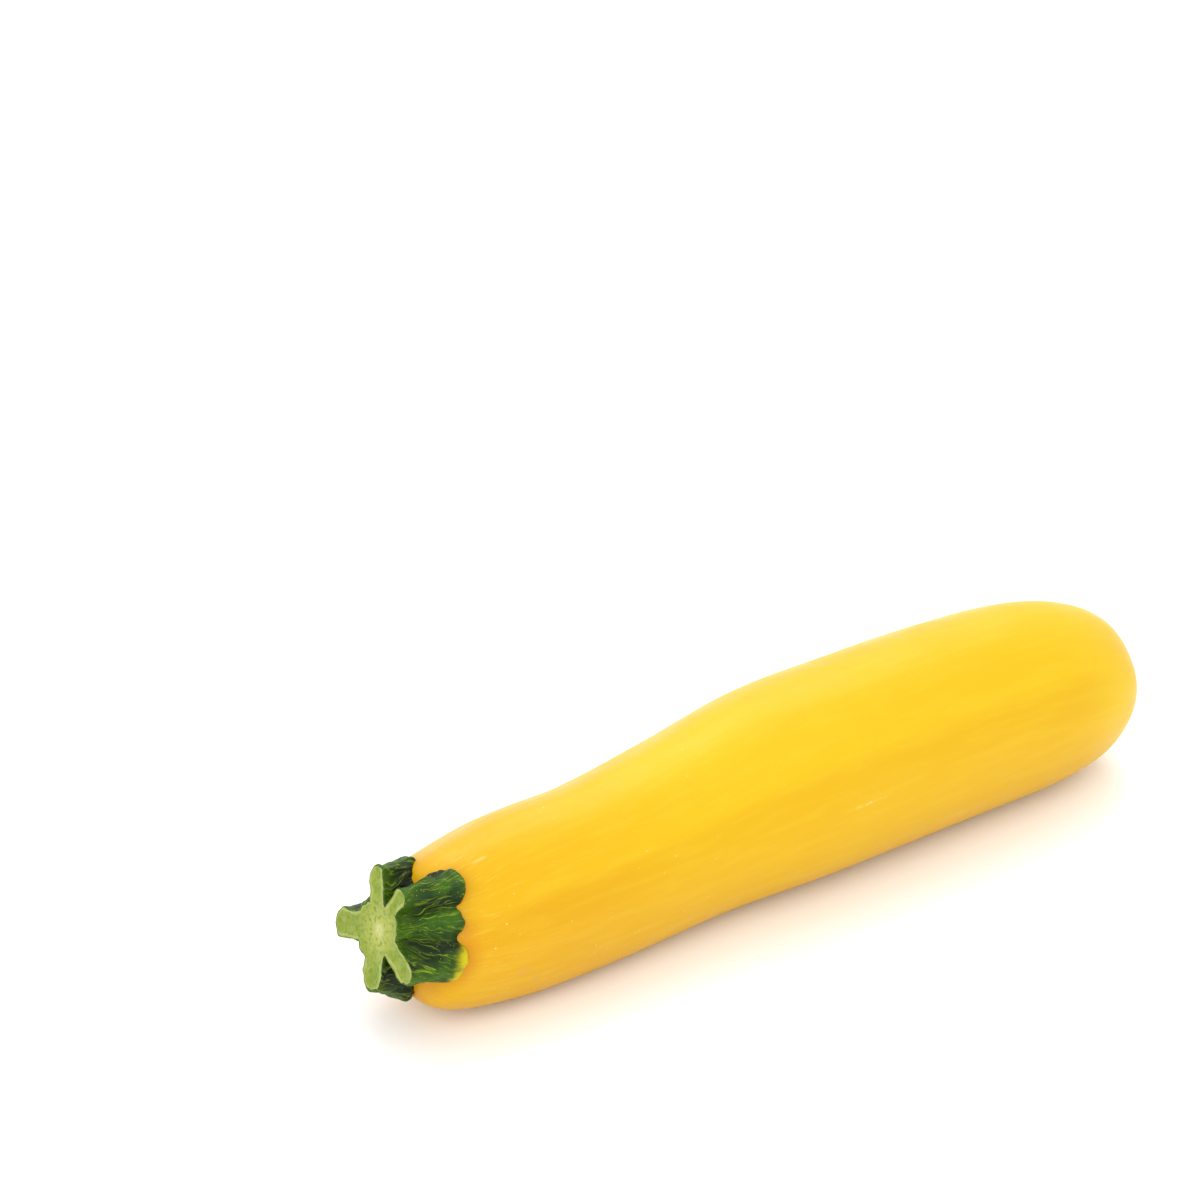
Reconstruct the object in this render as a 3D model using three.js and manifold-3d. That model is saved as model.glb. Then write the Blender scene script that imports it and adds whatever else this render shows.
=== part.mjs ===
// A yellow zucchini, picked and lying on its side: one fruit and the short ridged stalk it was cut by.
// Millimetres, +Z up. The fruit's length runs along X, with the stalk at -X and the blossom end at +X.
// The origin is on the surface it lies on, under the middle of the whole vegetable.

import * as THREE from "three";
import { mergeVertices } from "three/addons/utils/BufferGeometryUtils.js";
import Module from "manifold-3d";

const wasm = await Module();
wasm.setup();

const { clamp, degToRad, lerp, smoothstep } = THREE.MathUtils;

// ---------------------------------------------------------------- driving dimensions

// The fruit. Distances along it are measured from its stalk end. Its girth and the way its spine wavers
// to the side are given at equal steps along it.
const FRUIT_LENGTH = 176;
const GIRTH_RADII = [14.4, 17.7, 18, 18.9, 20.8, 20.9, 20.7, 19.7, 16.2];
const SPINE_SIDEWAYS = [-0.9, -0.3, -0.2, 1, 0.7, 0.6, 0.5, -0.1, -1.3]; // towards +Y
const SHOULDER_LENGTH = 17; // rounding at the stalk end
const SHOULDER_POWER = 6; // 2 is an ellipse, more is squarer
const CAP_LENGTH = 36; // rounding at the blossom end
const CAP_POWER = 4;
const SCAR_RADIUS = 4; // the blossom scar, a shallow dimple at the very tip
const SCAR_DEPTH = 0.6;

// Five soft ribs run the length of the fruit, and a hollow between two of them faces down.
const RIBS = 5;
const RIB_AT_STALK = 0.028; // height as a share of the radius
const RIB_AT_BLOSSOM = 0.014;

// The neck lifts towards the stalk, and the soft underside is pressed flat by the fruit's own weight.
const NECK_LIFT = 4.6;
const NECK_LENGTH = 28;
const FLATTENED = 0.35;

// The stalk. It leaves the fruit's end rising, and its root is a little off the middle of that end.
const STALK_LENGTH = 7;
const STALK_RISE = 18; // degrees
const ROOT_UP = 1.8;
const ROOT_SIDEWAYS = 0.9; // towards +Y
const TOE_ROUNDING = 3.6; // length of the toes' rounded ends
const TOE_POWER = 2.2;
const CORE_AT_CUT = 4.9; // radius of the stalk's core
const CORE_AT_FRUIT = 13;
const CORE_LEAN = 1.4; // how much further the core reaches to one side
const CORE_STRETCH = 0.8; // how much further it reaches to that side and the opposite one
const CORE_LEAN_TO = 50; // that side, in degrees from straight up towards -Y
const CORE_BACK = 4.6;
const FILLET = 0.4; // softness of the grooves between ridges
const RIDGE_FULLNESS = 1.9; // how soon the ridges reach their full size below the cut

// The stalk's ridges: [degrees from straight up towards -Y, reach, half width] at the cut face and where
// they end in toes over the fruit's shoulder, and how far back each toe goes. Five are main ridges, and
// three are small ones between them.
const RIDGES = [
  { cut: [-25, 12.5, 2.4], toe: [-36, 14.6, 4.9], back: 5.2 },
  { cut: [24, 11.7, 1.9], toe: [28, 16.8, 4.7], back: 6.2 },
  { cut: [107, 14.0, 2.4], toe: [90, 16.4, 5.5], back: 5.6 },
  { cut: [167, 12.2, 3.2], toe: [176, 15.0, 4.6], back: 6 },
  { cut: [250, 14.2, 2.9], toe: [250, 15.8, 4.3], back: 5 },
  { cut: [61, 6.9, 3.4], toe: [58, 15.8, 4.4], back: 5 },
  { cut: [212, 7.4, 2.6], toe: [212, 14.6, 3.4], back: 4.6 },
  { cut: [288, 7.2, 2.4], toe: [291, 14.4, 3.4], back: 4.6 },
];

// Meshing.
const FRUIT_SIDES = 50;
const FRUIT_STEP = 5; // greatest distance between two rings
const CAP_RINGS = 9; // rings in each rounded end
const STALK_SIDES = 144;
const STALK_RINGS = 10;
const GAP = 0.3; // clearance between the fruit and the stalk

// ---------------------------------------------------------------- the fruit's shape

const spread = (from, to, count) =>
  Array.from({ length: count }, (_, i) => lerp(from, to, i / (count - 1)));

// A smooth curve through values given at equal steps along the fruit.
function alongFruit(values) {
  const steps = spread(0, FRUIT_LENGTH, values.length);
  const curve = new THREE.CubicInterpolant(steps, values, 1);
  return (along) => curve.evaluate(along)[0];
}

const girthRadius = alongFruit(GIRTH_RADII);
const spineSideways = alongFruit(SPINE_SIDEWAYS);

// Share of the girth that is left this far into a rounded end: 1 at its start, 0 at its tip.
const roundedShare = (into, power) => Math.pow(1 - Math.pow(into, power), 1 / power);

// Outline of the fruit as points of (radius, distance along), from the stalk end to the blossom end.
function fruitOutline() {
  const points = [];
  for (const into of spread(1, 0, CAP_RINGS)) {
    const along = SHOULDER_LENGTH * (1 - Math.sin((into * Math.PI) / 2));
    const share = roundedShare(1 - along / SHOULDER_LENGTH, SHOULDER_POWER);
    points.push(new THREE.Vector2(girthRadius(along) * share, along));
  }
  const capStart = FRUIT_LENGTH - CAP_LENGTH;
  const trunkRings = Math.ceil((capStart - SHOULDER_LENGTH) / FRUIT_STEP) + 1;
  for (const along of spread(SHOULDER_LENGTH, capStart, trunkRings).slice(1, -1)) {
    points.push(new THREE.Vector2(girthRadius(along), along));
  }
  for (const into of spread(0, 1, CAP_RINGS)) {
    const along = capStart + CAP_LENGTH * Math.sin((into * Math.PI) / 2);
    const radius = girthRadius(along) * roundedShare((along - capStart) / CAP_LENGTH, CAP_POWER);
    if (radius > SCAR_RADIUS) points.push(new THREE.Vector2(radius, along));
  }
  points.push(new THREE.Vector2(SCAR_RADIUS, FRUIT_LENGTH - SCAR_DEPTH));
  points.push(new THREE.Vector2(0, FRUIT_LENGTH - 2 * SCAR_DEPTH));
  return points;
}

// Height of the ribs at a distance along the fruit, as a share of the radius.
const ribHeight = (along) => lerp(RIB_AT_STALK, RIB_AT_BLOSSOM, smoothstep(along, 0, FRUIT_LENGTH / 2));

// Point of the fruit's spine. Its underside lies level, so the spine is as high as the fruit is thick.
function spine(along) {
  const thickness = girthRadius(along) * (1 - ribHeight(along)) - FLATTENED;
  const lift = NECK_LIFT * Math.pow(Math.max(0, 1 - along / NECK_LENGTH), 2);
  return new THREE.Vector3(along, spineSideways(along), thickness + lift);
}

// Directions across the spine: up, and to the side of -Y.
function acrossSpine(along) {
  const step = 0.5;
  const forwards = spine(along + step).sub(spine(along - step)).normalize();
  const side = new THREE.Vector3().crossVectors(forwards, new THREE.Vector3(0, 0, 1)).normalize();
  return { up: new THREE.Vector3().crossVectors(side, forwards), side };
}

// Point of the fruit's skin at an angle from straight up towards -Y.
function skinPoint(angle, radius, along) {
  const { up, side } = acrossSpine(along);
  const swelling = 1 + ribHeight(along) * Math.cos(RIBS * angle);
  return spine(along)
    .addScaledVector(up, radius * swelling * Math.cos(angle))
    .addScaledVector(side, radius * swelling * Math.sin(angle));
}

// ---------------------------------------------------------------- the stalk's shape

// How far from the stalk's axis a ray leaves a ridge, a bar with a round end, at an angle from it.
function ridgeExit(angle, reach, halfWidth) {
  const turn = Math.abs(Math.atan2(Math.sin(angle), Math.cos(angle)));
  if (turn >= Math.PI / 2) return 0;
  const endCentre = reach - halfWidth;
  if (Math.tan(turn) * endCentre >= halfWidth) return halfWidth / Math.sin(turn);
  const across = endCentre * Math.sin(turn);
  return endCentre * Math.cos(turn) + Math.sqrt(halfWidth ** 2 - across ** 2);
}

// The greater of two lengths, with a fillet where they are alike.
const softMax = (a, b) => Math.max(a, b) + FILLET * Math.log1p(Math.exp(-Math.abs(a - b) / FILLET));

// How much of a length is left in a toe's rounded end, at a height above the fruit's end.
const toeShare = (height, back) =>
  roundedShare(clamp((TOE_ROUNDING - back - height) / TOE_ROUNDING, 0, 1), TOE_POWER);

// Radius of the stalk's star at an angle from straight up towards -Y, and a height above the fruit's end.
function starRadius(angle, height) {
  const turn = angle - degToRad(CORE_LEAN_TO);
  const leaning = CORE_AT_FRUIT + CORE_LEAN * Math.cos(turn) + CORE_STRETCH * Math.cos(2 * turn);
  const core = lerp(leaning, CORE_AT_CUT, smoothstep(height, -CORE_BACK, STALK_LENGTH));
  let radius = Math.max(core * toeShare(height, CORE_BACK), CORE_AT_CUT);
  for (const { cut, toe, back } of RIDGES) {
    const toCut = smoothstep(height, -back, STALK_LENGTH) ** RIDGE_FULLNESS;
    const [degrees, reach, halfWidth] = toe.map((value, i) => lerp(value, cut[i], toCut));
    const exit = ridgeExit(angle - degToRad(degrees), reach, halfWidth);
    radius = softMax(radius, exit * toeShare(height, back));
  }
  return radius;
}

// Outline of the stalk as points of (share of the star's radius, height), from its cut face inwards.
function stalkOutline() {
  const deepest = -Math.max(...RIDGES.map((ridge) => ridge.back));
  const side = spread(STALK_LENGTH, deepest, STALK_RINGS).map((h) => new THREE.Vector2(1, h));
  return [new THREE.Vector2(0, STALK_LENGTH), ...side, new THREE.Vector2(0, deepest)];
}

// The stalk's root and its own directions.
function stalkFrame() {
  const rise = degToRad(STALK_RISE);
  const out = new THREE.Vector3(-Math.cos(rise), 0, Math.sin(rise));
  const side = new THREE.Vector3(0, -1, 0);
  const up = new THREE.Vector3().crossVectors(out, side);
  const root = spine(0).addScaledVector(up, ROOT_UP).addScaledVector(side, -ROOT_SIDEWAYS);
  return { root, out, side, up };
}

const STALK = stalkFrame();

// Point of the stalk at a share of the star's radius.
function stalkPoint(angle, share, height) {
  const radius = share * starRadius(angle, height);
  return STALK.root
    .clone()
    .addScaledVector(STALK.out, height)
    .addScaledVector(STALK.up, radius * Math.cos(angle))
    .addScaledVector(STALK.side, radius * Math.sin(angle));
}

// ---------------------------------------------------------------- geometry

// A lathed outline whose points are then moved by place(angle, radius, height), as one closed surface.
function shapedLathe(outline, sides, place) {
  const lathe = new THREE.LatheGeometry(outline, sides);
  const position = lathe.getAttribute("position");
  for (let i = 0; i < position.count; i++) {
    const [x, y, z] = [position.getX(i), position.getY(i), position.getZ(i)];
    const moved = place(Math.atan2(x, z), Math.hypot(x, z), y);
    position.setXYZ(i, moved.x, moved.y, moved.z);
  }
  return closed(lathe);
}

// The same surface with its shared vertices merged and only positions kept.
function closed(geometry) {
  geometry.deleteAttribute("normal");
  geometry.deleteAttribute("uv");
  return mergeVertices(geometry, 1e-4);
}

// The surface moved outwards by a distance.
function grown(geometry, distance) {
  const larger = geometry.clone();
  larger.computeVertexNormals();
  const position = larger.getAttribute("position");
  const normal = larger.getAttribute("normal");
  for (let i = 0; i < position.count; i++) {
    position.setXYZ(
      i,
      position.getX(i) + normal.getX(i) * distance,
      position.getY(i) + normal.getY(i) * distance,
      position.getZ(i) + normal.getZ(i) * distance,
    );
  }
  larger.deleteAttribute("normal");
  return larger;
}

const toSolid = (geometry) =>
  new wasm.Manifold(
    new wasm.Mesh({
      numProp: 3,
      vertProperties: geometry.getAttribute("position").array,
      triVerts: new Uint32Array(geometry.index.array),
    }),
  );

function toGeometry(solid) {
  const mesh = solid.getMesh();
  const geometry = new THREE.BufferGeometry()
    .setAttribute("position", new THREE.BufferAttribute(mesh.vertProperties, 3))
    .setIndex(new THREE.BufferAttribute(mesh.triVerts, 1));
  geometry.computeVertexNormals();
  return geometry;
}

// Everything under the surface that the vegetable lies on.
function underTheSurface() {
  const side = 2 * FRUIT_LENGTH;
  const ground = new THREE.BoxGeometry(2 * side, side, side);
  ground.translate(0, 0, -side / 2);
  return toSolid(closed(ground));
}

// The largest piece of a solid, without the slivers that a cut can leave.
const largestPiece = (solid) => solid.decompose().reduce((a, b) => (a.volume() > b.volume() ? a : b));

const fruitSkin = shapedLathe(fruitOutline(), FRUIT_SIDES, skinPoint);
const fruitSolid = toSolid(fruitSkin).subtract(underTheSurface());
const stalkSolid = largestPiece(
  toSolid(shapedLathe(stalkOutline(), STALK_SIDES, stalkPoint)).subtract(toSolid(grown(fruitSkin, GAP))),
);

// ---------------------------------------------------------------- the vegetable

const fruit = new THREE.Mesh(
  toGeometry(fruitSolid),
  new THREE.MeshStandardMaterial({ color: 0xf9cb24, roughness: 0.42, metalness: 0 }),
);
fruit.name = "fruit";

const stalk = new THREE.Mesh(
  toGeometry(stalkSolid),
  new THREE.MeshStandardMaterial({ color: 0x3d7020, roughness: 0.55, metalness: 0 }),
);
stalk.name = "stalk";

const zucchini = new THREE.Group();
zucchini.name = "yellow_zucchini";
zucchini.add(fruit, stalk);

// Puts the origin under the middle of the whole.
const middle = new THREE.Box3().setFromObject(zucchini).getCenter(new THREE.Vector3());
zucchini.position.set(-middle.x, -middle.y, 0);

export default zucchini;
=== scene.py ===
# %% [markdown]
# # A yellow zucchini
# A zucchini is two things that grew together: a smooth yellow fruit, and the stub of ridged green stalk
# that it was cut from its plant by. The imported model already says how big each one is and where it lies.
# Here both get a much finer skin, made by the same rules of shape, and materials made of shader nodes.
# Everything is in metres. The fruit lies along X, with its stalk at -X and its blossom end at +X. Angles
# round the fruit or the stalk are counted from straight up towards -Y, the side that faces the camera.

# %% Load the frame
import math

import bpy
import numpy as np
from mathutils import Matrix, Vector, noise
from mathutils.bvhtree import BVHTree


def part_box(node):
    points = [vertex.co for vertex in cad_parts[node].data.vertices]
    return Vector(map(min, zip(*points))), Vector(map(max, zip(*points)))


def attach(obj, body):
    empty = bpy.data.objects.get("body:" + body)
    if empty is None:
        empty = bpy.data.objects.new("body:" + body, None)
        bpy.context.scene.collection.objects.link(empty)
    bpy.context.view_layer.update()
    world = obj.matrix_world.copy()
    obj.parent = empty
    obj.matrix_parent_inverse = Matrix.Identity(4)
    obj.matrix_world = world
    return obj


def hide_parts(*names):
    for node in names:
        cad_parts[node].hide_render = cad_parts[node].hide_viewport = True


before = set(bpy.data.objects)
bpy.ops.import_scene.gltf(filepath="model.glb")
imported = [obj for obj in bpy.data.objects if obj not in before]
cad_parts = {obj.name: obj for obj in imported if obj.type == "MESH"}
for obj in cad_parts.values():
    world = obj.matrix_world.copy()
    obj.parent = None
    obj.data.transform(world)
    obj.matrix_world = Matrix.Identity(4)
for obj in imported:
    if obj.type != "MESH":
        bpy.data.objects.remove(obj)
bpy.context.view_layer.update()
MM = 0.001
print("nodes:", sorted(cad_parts))

# %% [markdown]
# ## The camera
# A long lens, nine tenths of a metre away, keeps the far end nearly as thick as the near one. A short lens
# close by would make the stalk look huge. The camera aims at a spot on the table beyond the zucchini, so
# the zucchini lies low in the view with clear table behind it.

# %% Place the camera
CAMERA_AZIMUTH = math.radians(-34.8)
CAMERA_ELEVATION = math.radians(30)
CAMERA_DISTANCE = 0.9113
CAMERA_AIM = Vector((0.0378, 0.1090, 0))
FIELD_OF_VIEW = math.radians(16.94)

towards_camera = Vector((
    math.sin(CAMERA_AZIMUTH) * math.cos(CAMERA_ELEVATION),
    -math.cos(CAMERA_AZIMUTH) * math.cos(CAMERA_ELEVATION),
    math.sin(CAMERA_ELEVATION),
))
camera = bpy.data.objects.new("camera", bpy.data.cameras.new("camera"))
bpy.context.collection.objects.link(camera)
camera.location = CAMERA_AIM + CAMERA_DISTANCE * towards_camera
camera.rotation_euler = towards_camera.to_track_quat("Z", "Y").to_euler()
camera.data.angle = FIELD_OF_VIEW
bpy.context.scene.camera = camera
print("camera at", [round(value, 3) for value in camera.location])

# %% [markdown]
# ## Curves along the fruit
# A fruit's girth and the waver of its spine change slowly, so a few values at equal steps are enough, and
# a smooth curve joins them. A Blender curve with a bevel could do it too, but a formula also tells how far
# along and how far round each point of skin is, which the materials need. The curve's slope at each value
# is the mean of the slopes on either side.

# %% A smooth curve through equally spaced values
FRUIT_LENGTH = 176 * MM
GIRTH_RADII = np.array([14.4, 17.7, 18, 18.9, 20.8, 20.9, 20.7, 19.7, 16.2]) * MM
SPINE_SIDEWAYS = np.array([-0.9, -0.3, -0.2, 1, 0.7, 0.6, 0.5, -0.1, -1.3]) * MM


def along_fruit(values, along):
    """The smooth curve through values at equal steps, at distances along the fruit."""
    steps = len(values) - 1
    chords = np.diff(values)
    slopes = np.concatenate([chords[:1], (chords[1:] + chords[:-1]) / 2, chords[-1:]])
    place = np.clip(along / FRUIT_LENGTH, 0, 1) * steps
    start = np.minimum(place.astype(int), steps - 1)
    into = place - start
    return (
        values[start] * (1 + 2 * into) * (1 - into) ** 2
        + values[start + 1] * into**2 * (3 - 2 * into)
        + slopes[start] * into * (1 - into) ** 2
        - slopes[start + 1] * into**2 * (1 - into)
    )


def smoothstep(value, low, high):
    """0 below low, 1 above high, and an S curve between them."""
    share = np.clip((value - low) / (high - low), 0, 1)
    return share * share * (3 - 2 * share)


def rounded_share(into, power):
    """What is left of a radius this far into a rounded end, from 1 at its start to 0 at its tip."""
    return (1 - np.clip(into, 0, 1) ** power) ** (1 / power)


print("radius at mid length: %.1f mm" % (along_fruit(GIRTH_RADII, np.array([0.088]))[0] / MM))

# %% [markdown]
# ## The fruit's form
# The fruit is a bent tube with rounded ends. Five soft ribs run its length, because the flower it grew
# from had five parts. Its underside lies level on the table and is pressed a little flat, and the neck
# lifts towards the stalk. Sculpting could give all this too, but a formula keeps the fine skin exactly
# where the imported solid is.

# %% Spine, cross directions and skin
SPINE_START = np.array([-83.467, -0.645, 0]) * MM
SHOULDER_LENGTH = 17 * MM
SHOULDER_POWER = 6
CAP_LENGTH = 36 * MM
CAP_START = FRUIT_LENGTH - CAP_LENGTH
CAP_POWER = 4
RIBS = 5
RIB_AT_STALK = 0.028
RIB_AT_BLOSSOM = 0.014
SPINE_STEP = 0.5 * MM
NECK_LIFT = 4.6 * MM
NECK_LENGTH = 28 * MM
FLATTENED = 0.35 * MM


def rib_height(along):
    """Height of the ribs as a share of the radius."""
    return RIB_AT_STALK + (RIB_AT_BLOSSOM - RIB_AT_STALK) * smoothstep(along, 0, FRUIT_LENGTH / 2)


def spine(along):
    """Points of the fruit's spine. They are as high as the fruit is thick, so that it lies level."""
    thickness = along_fruit(GIRTH_RADII, along) * (1 - rib_height(along)) - FLATTENED
    lift = NECK_LIFT * np.maximum(0, 1 - along / NECK_LENGTH) ** 2
    sideways = along_fruit(SPINE_SIDEWAYS, along)
    return SPINE_START + np.stack([along, sideways, thickness + lift], axis=-1)


def unit(vectors):
    """The vectors, each made one long."""
    return vectors / np.linalg.norm(vectors, axis=-1, keepdims=True)


def across_spine(along):
    """Directions up, sideways to -Y, and forwards, at distances along the fruit."""
    forwards = unit(spine(along + SPINE_STEP) - spine(along - SPINE_STEP))
    side = unit(np.cross(forwards, [0.0, 0.0, 1.0]))
    return np.cross(side, forwards), side, forwards


def skin_radius(angle, along):
    """Distance of the skin from the spine, at an angle from straight up towards -Y."""
    ends = rounded_share(1 - along / SHOULDER_LENGTH, SHOULDER_POWER)
    ends = ends * rounded_share((along - CAP_START) / CAP_LENGTH, CAP_POWER)
    return along_fruit(GIRTH_RADII, along) * ends * (1 + rib_height(along) * np.cos(RIBS * angle))


print("spine at the stalk end, mm:", spine(np.array([0.0]))[0] / MM)

# %% [markdown]
# ## From rings of points to a mesh
# Both pieces are rings of points that go once round, one after another. One helper turns such rings into a
# closed mesh with a point at each end. Four-sided faces between the rings shade smoothly, and only the two
# ends need triangles. Others store values that the materials read, such as how far along a point is.
# Values stored on the points stay with the surface, so marks don't slide over it.

# %% Rings to mesh
BOX_MARGIN = 0.02 * MM


def ring_mesh(name, rings, first, last):
    """A closed mesh through rings of points, shaped (rings, around, 3), with a point closing each end."""
    count, around, _ = rings.shape
    points = np.concatenate([rings.reshape(-1, 3), [first, last]])
    here = np.arange(around)
    after = (here + 1) % around
    rows = np.arange(count - 1)[:, None] * around
    corners = [rows + here, rows + after, rows + around + after, rows + around + here]
    quads = np.stack(corners, axis=-1).reshape(-1, 4)
    end = (count - 1) * around
    caps = np.concatenate([
        np.stack([np.full(around, count * around), after, here], axis=-1),
        np.stack([np.full(around, count * around + 1), end + here, end + after], axis=-1),
    ])
    mesh = bpy.data.meshes.new(name)
    mesh.from_pydata(points.tolist(), [], quads.tolist() + caps.tolist())
    mesh.shade_smooth()
    piece = bpy.data.objects.new(name, mesh)
    bpy.context.collection.objects.link(piece)
    print(name, "has", len(points), "points and", len(quads) * 2 + len(caps), "triangles")
    return piece


def store(piece, name, values, first=0.0, last=0.0):
    """Stores one value or vector for each point of a piece, and for its two end points."""
    single = values.ndim == 2
    all_values = np.concatenate([values.ravel(), np.ravel([first, last])])
    attribute = piece.data.attributes.new(name, "FLOAT" if single else "FLOAT_VECTOR", "POINT")
    attribute.data.foreach_set("value" if single else "vector", all_values.astype(np.float32))


def fractal_noise(points, size, octaves=3):
    """Noise of about -1 to 1 at points in metres, with features of the given size."""
    places = (points / size).reshape(-1, 3)
    values = [noise.fractal(Vector(place), 1.0, 2.0, octaves) for place in places]
    return np.array(values).reshape(points.shape[:-1])


def round_the_axis(turn, radius, along):
    """Points on a cylinder, used as a seamless place on the skin for noise and flecks."""
    return np.stack([np.cos(turn) * radius, np.sin(turn) * radius, along], axis=-1)


def within(points, box):
    """The points, held a hair inside a box, but free to touch its floor."""
    low, high = (np.array(corner) for corner in box)
    return np.clip(points, low + [BOX_MARGIN, BOX_MARGIN, 0], high - BOX_MARGIN)


# %% [markdown]
# ## Where the fruit's rings lie
# The rings of the trunk are evenly spaced. Towards both rounded ends they crowd together, because the skin
# turns there quickly, and evenly spaced rings would leave facets. The last rings belong to the scar of the
# flower, and they shrink evenly to its middle.

# %% Stations along the fruit
FRUIT_AROUND = 280
SHOULDER_RINGS = 64
TRUNK_RINGS = 176
CAP_RINGS = 62
SCAR_RINGS = 28
FIRST_RING_TURN = 0.04
LAST_CAP_TURN = 0.93 * np.pi / 2
SMALLEST_SCAR_RING = 0.008

shoulder_turns = np.linspace(FIRST_RING_TURN, np.pi / 2, SHOULDER_RINGS)
shoulder = SHOULDER_LENGTH * (1 - np.cos(shoulder_turns))
trunk = np.linspace(SHOULDER_LENGTH, CAP_START, TRUNK_RINGS)[1:-1]
cap = CAP_START + CAP_LENGTH * np.sin(np.linspace(0, LAST_CAP_TURN, CAP_RINGS))
last_share = rounded_share((cap[-1] - CAP_START) / CAP_LENGTH, CAP_POWER)
scar_shares = np.linspace(last_share, SMALLEST_SCAR_RING, SCAR_RINGS)[1:]
scar = CAP_START + CAP_LENGTH * rounded_share(scar_shares, CAP_POWER)
stations = np.concatenate([shoulder, trunk, cap, scar])
turns = np.linspace(0, 2 * np.pi, FRUIT_AROUND, endpoint=False)
along, turn = np.meshgrid(stations, turns, indexing="ij")
print("fruit rings:", len(stations), "of", FRUIT_AROUND, "points")

# %% [markdown]
# ## Dents and ripples
# The skin of a real fruit isn't a perfect surface. It has shallow dents and faint lumps a centimetre or two
# across, and fine ripples that run along it and are strongest on its neck. A bump in the material would
# catch the light too, but it would leave the outline perfect, so they are moved into the mesh. They fade
# out where the fruit closes at its ends.

# %% Skin radius with dents and ripples
MEAN_RADIUS = 20 * MM
DENT_SIZE = 17 * MM
DENT_DEPTH = 0.22 * MM
DENT_LENGTHENING = 0.5
RIPPLE_SIZE = 3.2 * MM
RIPPLE_DEPTH = 0.03 * MM
NECK_RIPPLE_DEPTH = 0.07 * MM
RIPPLE_LENGTHENING = 0.12
RIPPLE_SHIFT = 0.31

place = round_the_axis(turn, MEAN_RADIUS, along)
dents = 0.5 + 0.5 * fractal_noise(place * [1, 1, DENT_LENGTHENING], DENT_SIZE)
ripple_place = place * [1, 1, RIPPLE_LENGTHENING] + RIPPLE_SHIFT
ripple = 0.5 + 0.5 * fractal_noise(ripple_place, RIPPLE_SIZE, 2)
near_neck = 1 - smoothstep(along, 20 * MM, 70 * MM)
sunk = DENT_DEPTH * dents + (RIPPLE_DEPTH + NECK_RIPPLE_DEPTH * near_neck) * ripple
radius = skin_radius(turn, along)
radius = radius - sunk * smoothstep(radius, 2 * MM, 10 * MM)
print("deepest dent: %.2f mm" % (sunk.max() / MM))

# %% [markdown]
# ## The fruit with its blossom scar
# Where the flower dropped off, the far tip has a shallow scar with a puckered ring. Skin is drawn backwards
# there, along the spine, and most in the middle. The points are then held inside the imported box, whose
# floor is the table. That presses the underside flat, as the fruit's weight does.

# %% Build the fruit
SCAR_RADIUS = 4.4 * MM
SCAR_DEPTH = 1.1 * MM
PUCKERS = 10
PUCKER_DEPTH = 0.3 * MM
PUCKER_WANDER = 0.8
TIP_SET_BACK = 0.62 * MM
TIP_LENGTH = 12 * MM

up, side, forwards = across_spine(along)
in_scar = 1 - smoothstep(radius, 0.25 * SCAR_RADIUS, SCAR_RADIUS)
inside_ring = smoothstep(radius, 0, 0.4 * SCAR_RADIUS)
outside_ring = 1 - smoothstep(radius, 0.8 * SCAR_RADIUS, 2 * SCAR_RADIUS)
puckers = 0.5 - 0.5 * np.cos(PUCKERS * turn + PUCKER_WANDER * np.sin(3 * turn))
set_back = TIP_SET_BACK * smoothstep(along, FRUIT_LENGTH - TIP_LENGTH, FRUIT_LENGTH)
backwards = set_back + SCAR_DEPTH * in_scar + PUCKER_DEPTH * inside_ring * outside_ring * puckers
points = (
    spine(along)
    + (radius * np.cos(turn))[..., None] * up
    + (radius * np.sin(turn))[..., None] * side
    - backwards[..., None] * forwards
)
points = within(points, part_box("fruit"))
fruit = ring_mesh("fruit_skin", points, points[0].mean(axis=0), points[-1].mean(axis=0))

# %% [markdown]
# ## Values for the fruit's colours and painted shade
# A zucchini isn't one yellow. Its top is lemon, and its flanks, its underside and the grooves between the
# ribs are painted a step deeper: painted shade, where less light falls. How much of each a point of skin
# has is worked out here, where the angle round the fruit is at hand, and the material only has to read it.

# %% Store what the skin material reads
# Degrees round the fruit where painted shade darkens the near flank, the far flank and the underside.
NEAR_FLANK_SHADE = (49, 62)
FAR_FLANK_SHADE = (60, 95)
UNDERSIDE_SHADE = (92, 150)

round_to = np.degrees(np.where(turn > np.pi, turn - 2 * np.pi, turn))
# Painted shade on the flanks: full on the neck, half from 60 mm on, and fading out at the blossom end.
flank_shade = np.maximum(smoothstep(round_to, *NEAR_FLANK_SHADE), smoothstep(-round_to, *FAR_FLANK_SHADE))
flank_shade = flank_shade * (1 - 0.5 * smoothstep(along, 20 * MM, 60 * MM))
flank_shade = flank_shade * (1 - smoothstep(along, 152 * MM, 168 * MM))
store(fruit, "place", place, place[0].mean(axis=0), place[-1].mean(axis=0))
store(fruit, "along", along, 0, FRUIT_LENGTH)
store(fruit, "flank_shade", flank_shade, 0, 0)
# Painted shade on the underside, where less light falls.
store(fruit, "under", smoothstep(np.abs(round_to), *UNDERSIDE_SHADE), 0, 0)
# Painted shade in the grooves between the ribs.
store(fruit, "groove_shade", 0.5 - 0.5 * np.cos(RIBS * turn), 0, 0)
store(fruit, "scar", 1 - smoothstep(radius, 0.5 * SCAR_RADIUS, 1.2 * SCAR_RADIUS), 0, 1)
print("stored:", [item.name for item in fruit.data.attributes if not item.name.startswith(".")])

# %% [markdown]
# ## The stalk's form
# The stalk is star shaped. Seen from the cut face, each ridge is a bar with a round end, and each runs down
# into a toe that grips the fruit's shoulder. Its ridges are uneven, as grown ones are, so each has its own
# row of sizes: five main ones first, then three small ones that hardly show at the cut. Heights are
# counted from the stalk's root, inside the fruit's end, out along the stalk to the cut face.

# %% Sizes of the stalk and its ridges
STALK_LENGTH = 7 * MM
STALK_RISE = math.radians(18)
ROOT_UP = 1.8 * MM
ROOT_SIDEWAYS = 0.9 * MM
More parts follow.
